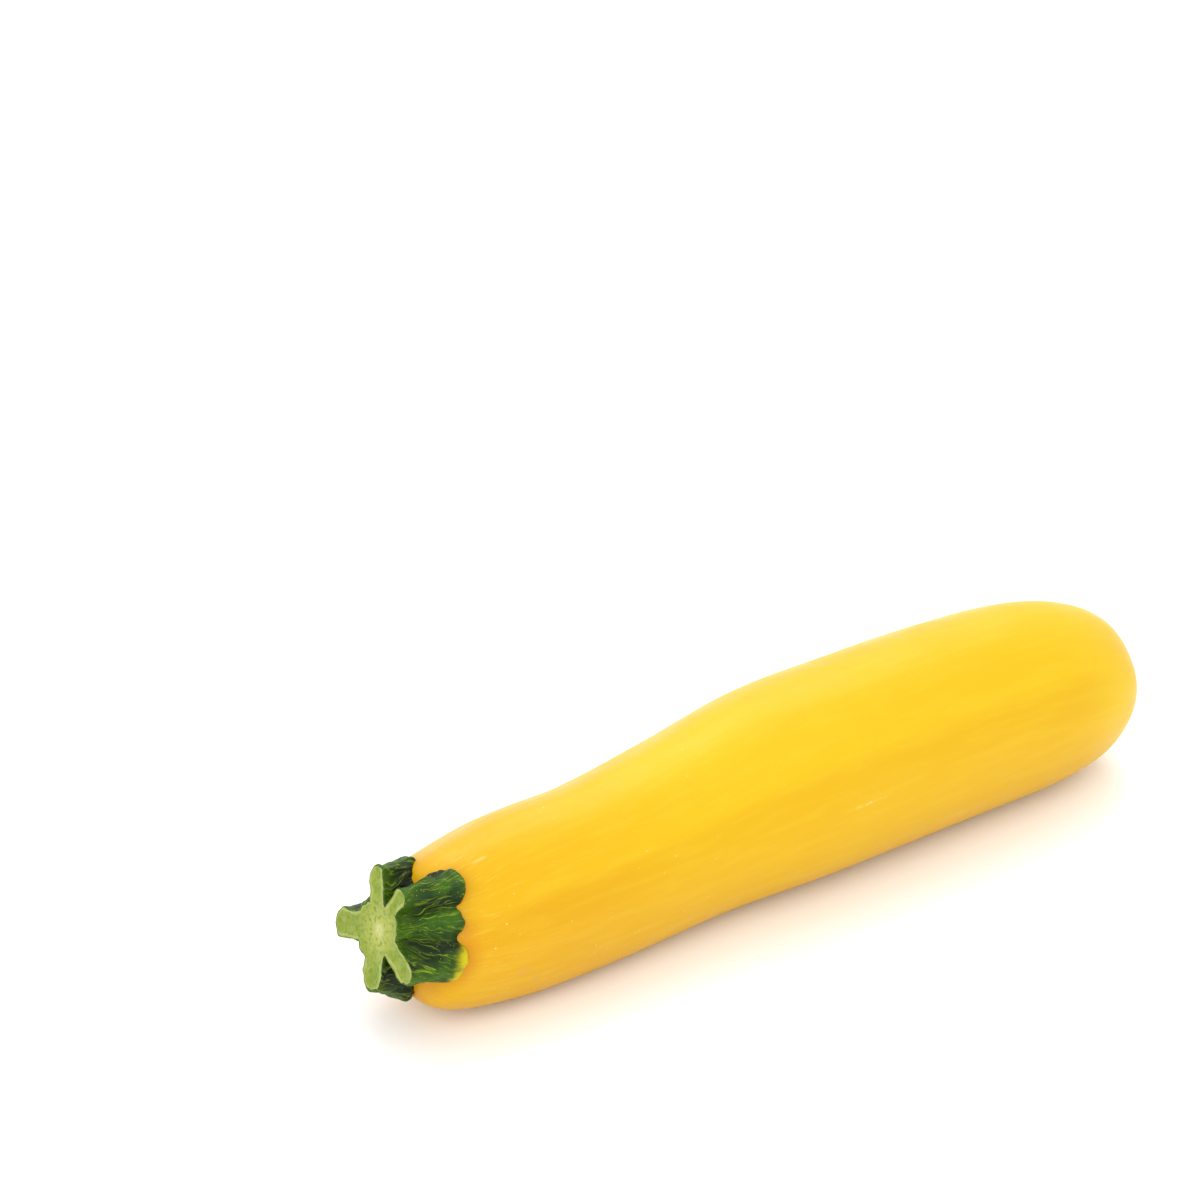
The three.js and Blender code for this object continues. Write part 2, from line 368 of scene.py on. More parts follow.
# The core fills the valleys between the ridges. It is round at the cut, and leans to one side at the fruit.
CORE_AT_CUT = 4.9 * MM
CORE_AT_FRUIT = 13 * MM
CORE_LEAN = 1.4 * MM
CORE_STRETCH = 0.8 * MM
CORE_LEAN_TO = math.radians(50)
CORE_BACK = 4.6 * MM
CORE_ROUNDING = 3.6 * MM
# Valleys have a fillet. Toes have rounded ends and swell a little before them.
FILLET = 0.5 * MM
TOE_POWER = 2.2
TOE_END_ROUNDING = 2.6 * MM
TOE_SWELLING = 0.02
SWELLING_FROM_TOE = 2.6 * MM
SWELLING_LENGTH = 2 * MM
RIDGE_FULLNESS = 1.9
# Each ridge: degrees from straight up towards -Y, reach and half width in mm at the cut face and at the
# toe, how far back the toe goes in mm, how long its rounding is in mm, and how ripe and yellow its tip is.
RIDGES = [
    ((-25, 12.5, 2.4), (-36, 14.2, 5.1), 5.6, 5.4, 0.25),
    ((24, 11.7, 1.9), (28, 16.8, 4.7), 6.2, 3.6, 0.1),
    ((107, 14.0, 2.4), (90, 16.4, 5.5), 5.6, 3.6, 1.0),
    ((167, 12.2, 3.2), (176, 15.0, 4.6), 6.0, 4.4, 0.3),
    ((250, 14.2, 2.9), (250, 15.8, 4.3), 5.0, 3.6, 0.4),
    ((61, 6.9, 3.4), (58, 15.6, 4.3), 4.8, 3.6, 0.35),
    ((212, 7.4, 2.6), (212, 14.6, 3.4), 4.6, 3.6, 0.3),
    ((288, 7.2, 2.4), (291, 14.4, 3.4), 4.6, 3.6, 0.3),
]
print("ridges:", len(RIDGES))

# %% [markdown]
# ## The star's radius
# Joining eight modelled bars would leave seams in the valleys. Instead one radius is worked out for every
# angle and height: the greatest of the bars' and the core's, with a fillet where two are alike. That gives
# one clean skin. The same radius tells which ridge a point is on, for the colours.

# %% Radius at every angle and height
TINY = 1e-6


def ridge_exit(angle, reach, half_width):
    """How far from the stalk's axis a ray leaves a bar with a round end, at an angle from the bar."""
    turn = np.minimum(np.abs(np.arctan2(np.sin(angle), np.cos(angle))), np.pi / 2 - TINY)
    end_centre = reach - half_width
    on_side = np.tan(turn) * end_centre >= half_width
    across = np.minimum(end_centre * np.sin(turn), half_width)
    on_end = end_centre * np.cos(turn) + np.sqrt(half_width**2 - across**2)
    out = np.where(on_side, half_width / np.maximum(np.sin(turn), TINY), on_end)
    return np.where(np.cos(angle) <= TINY, 0, out)


def toe_share(height, back, rounding):
    """What is left of a reach at a height, near a toe's end that lies this far back."""
    return rounded_share((rounding - back - height) / rounding, TOE_POWER)


def soft_max(a, b):
    """The greater of two lengths, with a fillet where they are alike."""
    return np.maximum(a, b) + FILLET * np.log1p(np.exp(-np.abs(a - b) / FILLET))


def star(angle, height):
    """The stalk's radius, how far up a ridge that is from the valleys, and how yellow it is at the tips."""
    to_cut = smoothstep(height, -CORE_BACK, STALK_LENGTH)
    turn = angle - CORE_LEAN_TO
    leaning = CORE_AT_FRUIT + CORE_LEAN * np.cos(turn) + CORE_STRETCH * np.cos(2 * turn)
    core = leaning + (CORE_AT_CUT - leaning) * to_cut
    radius = np.maximum(core * toe_share(height, CORE_BACK, CORE_ROUNDING), CORE_AT_CUT)
    crest, ripe, bars = np.zeros_like(radius), np.zeros_like(radius), []
    for cut, toe, back, rounding, ripeness in RIDGES:
        to_cut = smoothstep(height, -back * MM, STALK_LENGTH) ** RIDGE_FULLNESS
        degrees, reach, half_width = (t + (c - t) * to_cut for c, t in zip(cut, toe))
        away = angle - np.radians(degrees)
        out = ridge_exit(away, reach * MM, half_width * MM)
        beside = np.minimum(np.abs(np.sin(away)) * out / (half_width * MM), 1)
        own_back = back * MM - TOE_END_ROUNDING * (1 - np.sqrt(1 - beside**2))
        from_swelling = (height + back * MM - SWELLING_FROM_TOE) / SWELLING_LENGTH
        swelling = 1 + TOE_SWELLING * np.exp(-(from_swelling**2))
        radius = soft_max(radius, out * swelling * toe_share(height, own_back, rounding * MM))
        bars.append((away, half_width * MM, ripeness))
    # A point is on a ridge if it lies beside its middle line by less than its half width, and not behind.
    for away, half_width, ripeness in bars:
        beside = np.abs(np.sin(away)) * radius / half_width + 2 * (np.cos(away) < 0)
        crest = np.maximum(crest, 1 - smoothstep(beside, 0.25, 1.15))
        ripe = np.maximum(ripe, ripeness * (1 - smoothstep(beside, 0.5, 1.1)))
    return radius, crest, ripe


rise_out = np.array([-math.cos(STALK_RISE), 0, math.sin(STALK_RISE)])
rise_side = np.array([0.0, -1.0, 0.0])
rise_up = np.cross(rise_out, rise_side)
root = spine(np.array([0.0]))[0] + ROOT_UP * rise_up - ROOT_SIDEWAYS * rise_side
print("stalk's root, mm:", root / MM)

# %% [markdown]
# ## Fibres down the stalk's sides
# Down its sides run fine wavy cords: the fibres under the rind. They are modelled as real ridges up to a
# fifth of a millimetre high, along with softer lumps, because the stalk is small and seen close up. The
# fibres come from noise that is drawn out lengthwise. Its place round the stalk is measured along a
# mid-height outline, so that the fibres are evenly spaced on ridges and in valleys alike.

# %% The stalk's sides
STALK_AROUND = 560
SIDE_RINGS = 92
EDGE_ROUNDING = 0.55 * MM
DEEPEST = -6.2 * MM
MID_HEIGHT = 1 * MM
FIBRE_WAVE = 0.9 * MM
FIBRE_WAVE_SIZE = 5 * MM
CORD_SIZE = 0.75 * MM
CORD_HEIGHT = 0.2 * MM
CORD_LENGTHENING = 0.16
LUMP_SIZE = 3.2 * MM
LUMP_HEIGHT = 0.6 * MM
LUMP_LENGTHENING = 0.6
LUMP_SHIFT = 0.7

turns = np.linspace(0, 2 * np.pi, STALK_AROUND, endpoint=False)
cut_outline = star(turns, np.full(STALK_AROUND, STALK_LENGTH))[0]
mid_outline = star(turns, np.full(STALK_AROUND, MID_HEIGHT))[0]
loop = np.stack([np.cos(turns) * mid_outline, np.sin(turns) * mid_outline], axis=-1)
strides = np.linalg.norm(np.roll(loop, -1, axis=0) - loop, axis=-1)
fibre_turn = 2 * np.pi * np.concatenate([[0], np.cumsum(strides)[:-1]]) / strides.sum()
fibre_radius = strides.sum() / (2 * np.pi)

heights = np.linspace(STALK_LENGTH - EDGE_ROUNDING, DEEPEST, SIDE_RINGS)
height, turn = np.meshgrid(heights, turns, indexing="ij")
radius, crest, ripe = star(turn, height)
fibre_place = round_the_axis(np.broadcast_to(fibre_turn, turn.shape), fibre_radius, height)
wave = fractal_noise(fibre_place, FIBRE_WAVE_SIZE, 2)
bent_turn = fibre_turn + FIBRE_WAVE / fibre_radius * wave
bent_place = round_the_axis(bent_turn, fibre_radius, height)
cords = fractal_noise(bent_place * [1, 1, CORD_LENGTHENING], CORD_SIZE, 2)
lumps = fractal_noise(bent_place * [1, 1, LUMP_LENGTHENING] + LUMP_SHIFT, LUMP_SIZE, 2)
away_from_edge = smoothstep(STALK_LENGTH - height, 0.2 * MM, 2 * MM)
above_toes = smoothstep(height, -4 * MM, -1 * MM)
radius = radius - CORD_HEIGHT * above_toes * (0.5 - 0.5 * cords)
radius = radius - LUMP_HEIGHT * away_from_edge * (0.4 + 0.6 * lumps)
print("outline at mid height: %.1f mm round" % (strides.sum() / MM))

# %% [markdown]
# ## The cut face
# The knife left a nearly flat face with a rounded edge, a little sunk where the soft middle has dried, with
# fine pits and the faint waves of the blade. Its rings shrink from the star's outline to a point, and they
# crowd towards the edge, where the face bends most. Distances from the outline are kept too, because rind,
# pale rim and pith all follow it.

# %% The rounded edge and the face
EDGE_RINGS = 6
EDGE_INSET = 0.05 * MM
FACE_RINGS = 46
SMALLEST_FACE_SHARE = 0.985
FACE_CROWDING = 1.5
FACE_SUNK = 0.35 * MM
PIT_SIZE = 0.9 * MM
PIT_DEPTH = 0.06 * MM
BLADE_WAVE_HEIGHT = 0.05 * MM
BLADE_WAVES_UP = 0.35 / MM
BLADE_WAVES_SIDEWAYS = 1.9 / MM
MEAN_ROUGHNESS = 0.08 * MM

edge_turns = np.linspace(0, np.pi / 2, EDGE_RINGS + 1)[1:, None]
edge_radius = cut_outline - EDGE_ROUNDING * (1 - np.cos(edge_turns)) - EDGE_INSET
edge_height = STALK_LENGTH - EDGE_ROUNDING * (1 - np.sin(edge_turns)) + 0 * edge_radius
face_share = 1 - np.linspace(0, SMALLEST_FACE_SHARE, FACE_RINGS)[1:, None] ** FACE_CROWDING
face_radius = edge_radius[-1] * face_share
flat = np.stack([np.cos(turns) * face_radius, np.sin(turns) * face_radius], axis=-1)
outline = np.stack([np.cos(turns) * edge_radius[0], np.sin(turns) * edge_radius[0]], axis=-1)
to_edge = np.array([
    np.linalg.norm(ring[:, None, :] - outline[None, :, :], axis=-1).min(axis=1) for ring in flat
])
face_place = np.concatenate([flat, np.zeros(flat.shape[:2] + (1,))], axis=-1)
pits = PIT_DEPTH * fractal_noise(face_place, PIT_SIZE, 3)
blade_phase = flat[..., 0] * BLADE_WAVES_UP + flat[..., 1] * BLADE_WAVES_SIDEWAYS
blade_waves = BLADE_WAVE_HEIGHT * np.sin(blade_phase)
roughness = (pits + blade_waves + MEAN_ROUGHNESS) * smoothstep(to_edge, 0, 0.8 * MM)
face_height = STALK_LENGTH - FACE_SUNK * smoothstep(to_edge, 0, 4 * MM) - roughness
print("the face sinks %.2f mm" % ((STALK_LENGTH - face_height.min()) / MM))

# %% [markdown]
# ## The whole stalk
# Sides, edge and face are joined into one row of rings, from the deepest one inside the fruit to the middle
# of the cut. A slow noise then shifts all of them sideways by up to half a millimetre, so that no ridge
# stays as regular as its formula.

# %% Build the stalk
UNEVENNESS = 0.6 * MM
UNEVENNESS_SIZE = 2.6 * MM
UNEVENNESS_LENGTHENING = 0.4
SIDEWAYS_SHIFT = 0.5

all_radius = np.concatenate([radius[::-1], edge_radius, face_radius])
all_height = np.concatenate([height[::-1], edge_height, face_height])
all_turn = np.broadcast_to(turns, all_radius.shape)
offset_up = all_radius * np.cos(all_turn)
offset_side = all_radius * np.sin(all_turn)
uneven_place = np.stack([offset_up, offset_side, UNEVENNESS_LENGTHENING * all_height], axis=-1)
shift_up = UNEVENNESS * fractal_noise(uneven_place, UNEVENNESS_SIZE, 3)
shift_side = UNEVENNESS * fractal_noise(uneven_place + SIDEWAYS_SHIFT, UNEVENNESS_SIZE, 3)
points = (
    root
    + all_height[..., None] * rise_out
    + (offset_up + shift_up)[..., None] * rise_up
    + (offset_side + shift_side)[..., None] * rise_side
)
points = within(points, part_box("stalk"))[:, ::-1]
stalk = ring_mesh("stalk_stub", points, points[0].mean(axis=0), points[-1].mean(axis=0))

# %% [markdown]
# ## Values for the stalk's colours
# The rind reads how near a crest a point is and how ripe its toe is. The face reads how far its edge is.
# Faces of the cut are told apart by their number, because the rings were built in order.

# %% Store what the rind and the cut read
RIPE_FROM = -5.2 * MM
RIPE_TO = 1.5 * MM
NOT_ON_FACE = -1 * MM
MIDDLE_TO_EDGE = 6 * MM


def with_rest(side_values, edge_value, face_values):
    """Values for all the stalk's rings, from the deepest to the middle of the cut face."""
    edge = np.broadcast_to(edge_value, (EDGE_RINGS,) + side_values.shape[1:])
    return np.concatenate([side_values[::-1], edge, face_values])[:, ::-1]


edge_place = round_the_axis(np.broadcast_to(fibre_turn, edge_height.shape), fibre_radius, edge_height)
ripe_tips = ripe * (1 - smoothstep(height, RIPE_FROM, RIPE_TO))
off_face = np.full(radius.shape, NOT_ON_FACE)
store(stalk, "place", with_rest(bent_place, edge_place, face_place), [0, 0, 0], [0, 0, 0])
store(stalk, "crest", with_rest(crest, crest[0], np.ones_like(to_edge)), 0, 1)
store(stalk, "ripe", with_rest(ripe_tips, 0, np.zeros_like(to_edge)), 0, 0)
store(stalk, "height", all_height[:, ::-1], DEEPEST, STALK_LENGTH)
store(stalk, "to_edge", with_rest(off_face, 0, to_edge), NOT_ON_FACE, MIDDLE_TO_EDGE)
quads_before_face = (SIDE_RINGS + EDGE_RINGS - 2) * STALK_AROUND
is_face = np.arange(len(stalk.data.polygons)) >= quads_before_face
is_face[-2 * STALK_AROUND:-STALK_AROUND] = False
print("faces on the cut:", int(is_face.sum()))

# %% [markdown]
# ## Where the fruit meets the stalk
# Skin close under the toes is painted deeper orange: painted shade, warm as bounced light is, in the crease
# between skin and toes. The distance from each point of the fruit to the stalk is stored for that. Measuring
# it on the meshes lets the orange follow every toe, however the stalk is shaped.

# %% Distance from the fruit to the stalk
FAR = 40 * MM
stalk_tree = BVHTree.FromObject(stalk, bpy.context.evaluated_depsgraph_get())
near_rows = int(np.searchsorted(stations, FAR))
fruit_points = [vertex.co for vertex in fruit.data.vertices[:near_rows * FRUIT_AROUND]]
distances = [stalk_tree.find_nearest(point)[3] for point in fruit_points]
to_stalk = np.full(along.shape, FAR)
to_stalk[:near_rows] = np.reshape(distances, (near_rows, -1))
store(fruit, "to_stalk", np.minimum(to_stalk, FAR), 0, FAR)
print("nearest skin point to the stalk: %.2f mm" % (to_stalk.min() / MM))

# %% [markdown]
# ## Helpers for shader nodes
# A material is a graph of nodes, and it could be drawn by hand in the shader editor. These short helpers
# make such a graph readable as lines of sums: each adds a node, links or sets its inputs, and hands back
# its output. Colours are given as they look on a screen, and made darker by as much as the studio is
# brighter than plain white light.

# %% Shader node helpers
STUDIO_BRIGHTNESS = 1.42


def add(tree, kind, inputs=None, **settings):
    """Adds a node with its settings. Inputs are values, or outputs to link from."""
    made = tree.nodes.new("ShaderNode" + kind)
    for name, value in settings.items():
        setattr(made, name, value)
    for name, value in (inputs or {}).items():
        if isinstance(value, bpy.types.NodeSocket):
            tree.links.new(value, made.inputs[name])
        else:
            made.inputs[name].default_value = value
    return made


def calc(tree, operation, a, b=0.0):
    """The outcome of a sum with one or two numbers."""
    return add(tree, "Math", {0: a, 1: b}, operation=operation).outputs[0]


def times(tree, a, b):
    """a times b, which for two masks is where both are."""
    return calc(tree, "MULTIPLY", a, b)


def either(tree, a, b):
    """The greater of two masks."""
    return calc(tree, "MAXIMUM", a, b)


def ramp(tree, value, low, high, to_low=0.0, to_high=1.0):
    """value, taken smoothly from low..high to to_low..to_high."""
    limits = {"From Min": low, "From Max": high, "To Min": to_low, "To Max": to_high}
    return add(tree, "MapRange", {"Value": value, **limits}, interpolation_type="SMOOTHSTEP").outputs[0]


def mix(tree, share, a, b):
    """A colour between a and b."""
    return add(tree, "Mix", {0: share, 6: a, 7: b}, data_type="RGBA").outputs[2]


def stored(tree, name, output="Fac"):
    """A value that is stored on the mesh's points."""
    return add(tree, "Attribute", attribute_name=name).outputs[output]


def cloud(tree, place, size, detail=2.0):
    """Soft noise from 0 to 1 with features of a size in metres."""
    return add(tree, "TexNoise", {"Vector": place, "Scale": 1 / size, "Detail": detail}).outputs["Fac"]


def paint(red, green, blue):
    """The base colour that looks like a screen colour in the studio's bright light."""
    channels = [value / 255 for value in (red, green, blue)]
    linear = [c / 12.92 if c <= 0.04045 else ((c + 0.055) / 1.055) ** 2.4 for c in channels]
    return [value / STUDIO_BRIGHTNESS for value in linear] + [1.0]


def new_group(name, numbers, output):
    """A shader node group with a Place, named numbers and one output: its tree, inputs and output."""
    tree = bpy.data.node_groups.new(name, "ShaderNodeTree")
    tree.interface.new_socket("Place", in_out="INPUT", socket_type="NodeSocketVector")
    for socket, default in numbers.items():
        made = tree.interface.new_socket(socket, in_out="INPUT", socket_type="NodeSocketFloat")
        made.default_value = default
    tree.interface.new_socket(output, in_out="OUTPUT", socket_type="NodeSocketFloat")
    return tree, tree.nodes.new("NodeGroupInput").outputs, tree.nodes.new("NodeGroupOutput").inputs


def scaled_up(tree, place, size):
    """A place divided by a size, so that one unit of it is one size long."""
    inputs = {0: place, "Scale": calc(tree, "DIVIDE", 1.0, size)}
    return add(tree, "VectorMath", inputs, operation="SCALE").outputs[0]


def use(tree, group, **inputs):
    """Adds a group node and hands back its output."""
    made = tree.nodes.new("ShaderNodeGroup")
    made.node_tree = group
    for name, value in inputs.items():
        if isinstance(value, bpy.types.NodeSocket):
            tree.links.new(value, made.inputs[name])
        else:
            made.inputs[name].default_value = value
    return made.outputs[0]


# %% [markdown]
# ## Shared effects
# Two effects occur in more than one material, so each is a node group, built once and used with other
# values in each. Flecks are small round dots, such as the pores of the skin and the ends of cut fibres,
# in some of the cells of a scattered pattern. Fibres are soft stripes drawn out lengthwise, as noise is
# when one of its directions is squeezed. Spacing and Width are in metres, and Size is a share of Spacing.

# %% Node groups for flecks and fibres
flecks, given, result = new_group("flecks", {"Spacing": 2 * MM, "Size": 0.2, "Kept": 0.4}, "Mask")
scaled = scaled_up(flecks, given["Place"], given["Spacing"])
cells = add(flecks, "TexVoronoi", {"Vector": scaled, "Scale": 1.0})
chance = add(flecks, "SeparateColor", {0: cells.outputs["Color"]}).outputs
own_size = times(flecks, given["Size"], ramp(flecks, chance[1], 0, 1, 0.5, 1.2))
dot = ramp(flecks, calc(flecks, "DIVIDE", cells.outputs["Distance"], own_size), 0.45, 1.0, 1.0, 0.0)
kept = calc(flecks, "LESS_THAN", chance[0], given["Kept"])
flecks.links.new(times(flecks, dot, kept), result["Mask"])

fibres, given, result = new_group("fibres", {"Width": 1 * MM, "Stretch": 8.0, "Wave": 0.3}, "Value")
parts = add(fibres, "SeparateXYZ", {0: given["Place"]}).outputs
shorter = calc(fibres, "DIVIDE", parts[2], given["Stretch"])
squeezed = add(fibres, "CombineXYZ", {0: parts[0], 1: parts[1], 2: shorter}).outputs[0]
scaled = scaled_up(fibres, squeezed, given["Width"])
wavy = {"Vector": scaled, "Scale": 1.0, "Detail": 3.0, "Distortion": given["Wave"]}
stripes = add(fibres, "TexNoise", wavy).outputs["Fac"]
fibres.links.new(stripes, result["Value"])
print("groups:", [group.name for group in bpy.data.node_groups])

# %% [markdown]
# ## The fruit's skin: its yellows and painted shade
# The skin's yellow is lemon on top, changes slowly in tone, and deepens to gold towards the neck. The gold
# on the flanks, on the underside and in the grooves is painted shade, where less light falls, and it stays
# put when the fruit turns. Each is a mix towards another paint, by a mask that comes from the mesh or noise.

# %% Yellows of the skin
def new_material(name):
    """A material with its node tree and the inputs of its main shader."""
    made = bpy.data.materials.new(name)
    made.use_nodes = True
    return made.node_tree, made.node_tree.nodes["Principled BSDF"].inputs, made


tree, skin, skin_material = new_material("fruit_skin")
place = stored(tree, "place", "Vector")
along_skin = stored(tree, "along")
painted_flank_shade = stored(tree, "flank_shade")

broad = cloud(tree, place, 28 * MM)
colour = mix(tree, ramp(tree, broad, 0.35, 0.65), paint(249, 203, 0), paint(251, 208, 14))
# Painted shade on the flanks.
colour = mix(tree, painted_flank_shade, colour, paint(238, 180, 0))
# Painted shade on the underside.
colour = mix(tree, times(tree, stored(tree, "under"), 0.6), colour, paint(232, 172, 0))
neck_gold = ramp(tree, along_skin, 62 * MM, 4 * MM, 0.0, 0.6)
colour = mix(tree, neck_gold, colour, paint(240, 178, 0))
# Painted shade in the grooves between the ribs, stronger towards the neck.
groove_shade_amount = ramp(tree, along_skin, 90 * MM, 20 * MM, 0.22, 0.45)
colour = mix(tree, times(tree, stored(tree, "groove_shade"), groove_shade_amount), colour, paint(240, 184, 0))
print("nodes for the yellows:", len(tree.nodes))

# %% [markdown]
# ## The fruit's skin: streaks, crease and pores
# Faint stripes run along the whole skin. Short pale streaks spread from the stalk, and the crease under its
# toes gets orange painted shade. Pale pores dot the skin in clusters, most of all on the neck. They could be
# scattered as little meshes, but flecks from a node group cost nothing and lie exactly in the skin.

# %% Streaks, crease and pores
fine = use(tree, fibres, Place=place, Width=1.6 * MM, Stretch=9.0, Wave=0.4)
colour = mix(tree, ramp(tree, fine, 0.42, 0.7, 0.0, 0.14), colour, paint(255, 222, 60))
far_from_stalk = stored(tree, "to_stalk")
streak = use(tree, fibres, Place=place, Width=0.4 * MM, Stretch=10.0, Wave=0.6)
streak_zone = ramp(tree, far_from_stalk, 18 * MM, 2 * MM, 0.0, 0.35)
colour = mix(tree, times(tree, ramp(tree, streak, 0.56, 0.72), streak_zone), colour, paint(255, 226, 96))
# Painted shade under the toes: the crease turns deeper orange, more on the shaded flanks.
crease_shade = ramp(tree, far_from_stalk, 4.5 * MM, 0.2 * MM)
crease_shade = times(tree, crease_shade, ramp(tree, painted_flank_shade, 0, 1, 0.35, 0.8))
colour = mix(tree, crease_shade, colour, paint(226, 154, 0))
more_on_neck = ramp(tree, along_skin, 110 * MM, 30 * MM, 0.15, 1.0)
clusters = times(tree, more_on_neck, ramp(tree, cloud(tree, place, 12 * MM, 1.0), 0.4, 0.62))
pores = use(tree, flecks, Place=place, Spacing=1.5 * MM, Size=0.15, Kept=0.6)
pores = times(tree, pores, clusters)
colour = mix(tree, times(tree, pores, 0.75), colour, paint(255, 238, 150))
print("nodes with streaks and pores:", len(tree.nodes))

# %% [markdown]
# ## The fruit's skin: marks of handling and the corky scar
# A fruit that went through hands has marks: here two small brown scuffs low on the neck, one dry scratch
# at mid length and one pale rub on top of the neck. Each is a soft patch at its own place. Fine grain
# breaks up the scuffs and the scratch, so that they have no drawn edge. The blossom scar is brown cork.

# %% Scuffs, scratch, rub and scar
def mark_at(tree, place_along, degrees, length, width):
    """A soft patch on the fruit, at a distance along it and an angle round it: 1 in its middle."""
    turned = math.radians(degrees)
    middle = (math.cos(turned) * MEAN_RADIUS, math.sin(turned) * MEAN_RADIUS, place_along)
    here = stored(tree, "place", "Vector")
    offset = add(tree, "VectorMath", {0: here, 1: middle}, operation="SUBTRACT").outputs[0]
    scale = (1 / width, 1 / width, 1 / length)
    shrunk = add(tree, "VectorMath", {0: offset, 1: scale}, operation="MULTIPLY").outputs[0]
    distance = add(tree, "VectorMath", {0: shrunk}, operation="LENGTH").outputs["Value"]
    return ramp(tree, distance, 0.3, 1.0, 1.0, 0.0)


grain = cloud(tree, place, 0.5 * MM, 3.0)
long_scuff = mark_at(tree, 16 * MM, 104, 2.2 * MM, 1.5 * MM)
short_scuff = mark_at(tree, 19 * MM, 114, 1.6 * MM, 1 * MM)
scuff = times(tree, either(tree, long_scuff, short_scuff), ramp(tree, grain, 0.4, 0.6))
colour = mix(tree, times(tree, scuff, 0.6), colour, paint(232, 176, 110))
scratch = mark_at(tree, 95.5 * MM, 81, 6.5 * MM, 0.4 * MM)
scratch = times(tree, scratch, ramp(tree, grain, 0.45, 0.6))
rub = times(tree, mark_at(tree, 13.5 * MM, 15.5, 2.4 * MM, 0.5 * MM), 0.8)
colour = mix(tree, times(tree, either(tree, scratch, rub), 0.5), colour, paint(255, 236, 150))
ragged = ramp(tree, cloud(tree, place, 1.4 * MM), 0.3, 0.7, -0.25, 0.25)
scar = ramp(tree, calc(tree, "ADD", stored(tree, "scar"), ragged), 0.38, 0.62)
cork = mix(tree, ramp(tree, grain, 0.35, 0.65), paint(142, 96, 40), paint(214, 176, 100))
colour = mix(tree, times(tree, scar, 0.9), colour, cork)
tree.links.new(colour, skin["Base Color"])
print("nodes with the marks:", len(tree.nodes))

# %% [markdown]
# ## The fruit's skin: wax and flesh
# The skin is waxy and satin: its gloss varies a little, and scuffs and cork are dull. Relief finer than the
# mesh is a bump. Some light goes into the flesh and comes out warmer, which is the shader's subsurface
# part. Its gloss is kept low, because a bright white room would wash the yellow out.

# %% Gloss, relief and softness
def bumped(tree, height, distance):
    """A normal that tilts with a height map, whose full height is a distance in metres."""
    return add(tree, "Bump", {"Height": height, "Distance": distance, "Strength": 1.0}).outputs[0]


wax = ramp(tree, cloud(tree, place, 7 * MM, 3.0), 0.3, 0.7, 0.36, 0.46)
dull = times(tree, either(tree, scuff, scar), 0.7)
tree.links.new(either(tree, wax, dull), skin["Roughness"])
pebbled = times(tree, cloud(tree, place, 1.1 * MM, 2.0), 0.35)
relief = calc(tree, "ADD", times(tree, fine, 0.5), pebbled)
relief = calc(tree, "SUBTRACT", relief, times(tree, either(tree, pores, scratch), 0.5))
tree.links.new(bumped(tree, relief, 0.05 * MM), skin["Normal"])
skin["Subsurface Weight"].default_value = 0.12
skin["Subsurface Radius"].default_value = (1.0, 0.45, 0.08)
skin["Subsurface Scale"].default_value = 2.5 * MM
skin["Specular IOR Level"].default_value = 0.22
print("fruit skin nodes:", len(tree.nodes))

# %% [markdown]
# ## The stalk's rind
# The rind is dark green, nearly black in the valleys, with yellow-green fibres that show more towards the
# cut. The toes' tips are paler where they meet the fruit, and the one in front is quite yellow. Fine pale
# roots of hairs speckle it. The stripes have the same lengthwise direction as the modelled cords, so colour
# and relief read as one.

# %% Rind material
tree, rind, rind_material = new_material("stalk_rind")
place = stored(tree, "place", "Vector")
on_crest = stored(tree, "crest")
up_stalk = stored(tree, "height")
stripes = use(tree, fibres, Place=place, Width=0.42 * MM, Stretch=7.0, Wave=1.3)
patches = cloud(tree, place, 3.5 * MM)
colour = mix(tree, ramp(tree, on_crest, 0.15, 1.0), paint(5, 24, 0), paint(58, 100, 2))
colour = mix(tree, ramp(tree, patches, 0.4, 0.62, 0.0, 0.75), colour, paint(14, 46, 0))
pale_fibre = times(tree, ramp(tree, stripes, 0.51, 0.7), ramp(tree, on_crest, 0.0, 0.7, 0.4, 0.75))
pale_fibre = times(tree, pale_fibre, ramp(tree, up_stalk, -2 * MM, 5 * MM, 0.8, 1.25))
colour = mix(tree, pale_fibre, colour, paint(146, 174, 34))
near_cut = ramp(tree, up_stalk, 3 * MM, 7 * MM, 0.0, 0.45)
near_cut = times(tree, near_cut, ramp(tree, patches, 0.3, 0.6))
colour = mix(tree, near_cut, colour, paint(92, 136, 12))
mottled = ramp(tree, cloud(tree, place, 2.2 * MM), 0.25, 0.55, 0.6, 1.0)
yellow_tip = ramp(tree, times(tree, stored(tree, "ripe"), mottled), 0.12, 0.6, 0.0, 0.95)
colour = mix(tree, yellow_tip, colour, paint(224, 208, 10))
hair_roots = use(tree, flecks, Place=place, Spacing=0.6 * MM, Size=0.22, Kept=0.4)
colour = mix(tree, times(tree, hair_roots, 0.5), colour, paint(180, 200, 110))
tree.links.new(colour, rind["Base Color"])
tree.links.new(ramp(tree, stripes, 0.4, 0.65, 0.42, 0.56), rind["Roughness"])
relief = calc(tree, "ADD", stripes, times(tree, hair_roots, 0.4))
tree.links.new(bumped(tree, relief, 0.2 * MM), rind["Normal"])
rind["Specular IOR Level"].default_value = 0.18
rind["Subsurface Weight"].default_value = 0.05
rind["Subsurface Radius"].default_value = (0.4, 1.0, 0.2)
rind["Subsurface Scale"].default_value = 0.8 * MM
print("rind nodes:", len(tree.nodes))

# %% [markdown]
# ## The cut face
# The cut shows pale, moist pith. It is palest in the middle and greener outwards, with darker dots where
# bundles of fibres were cut, then a pale rim line and the thin dark edge of the rind. Rim and edge follow
# the stored distance from the outline, so they run into every arm of the star.

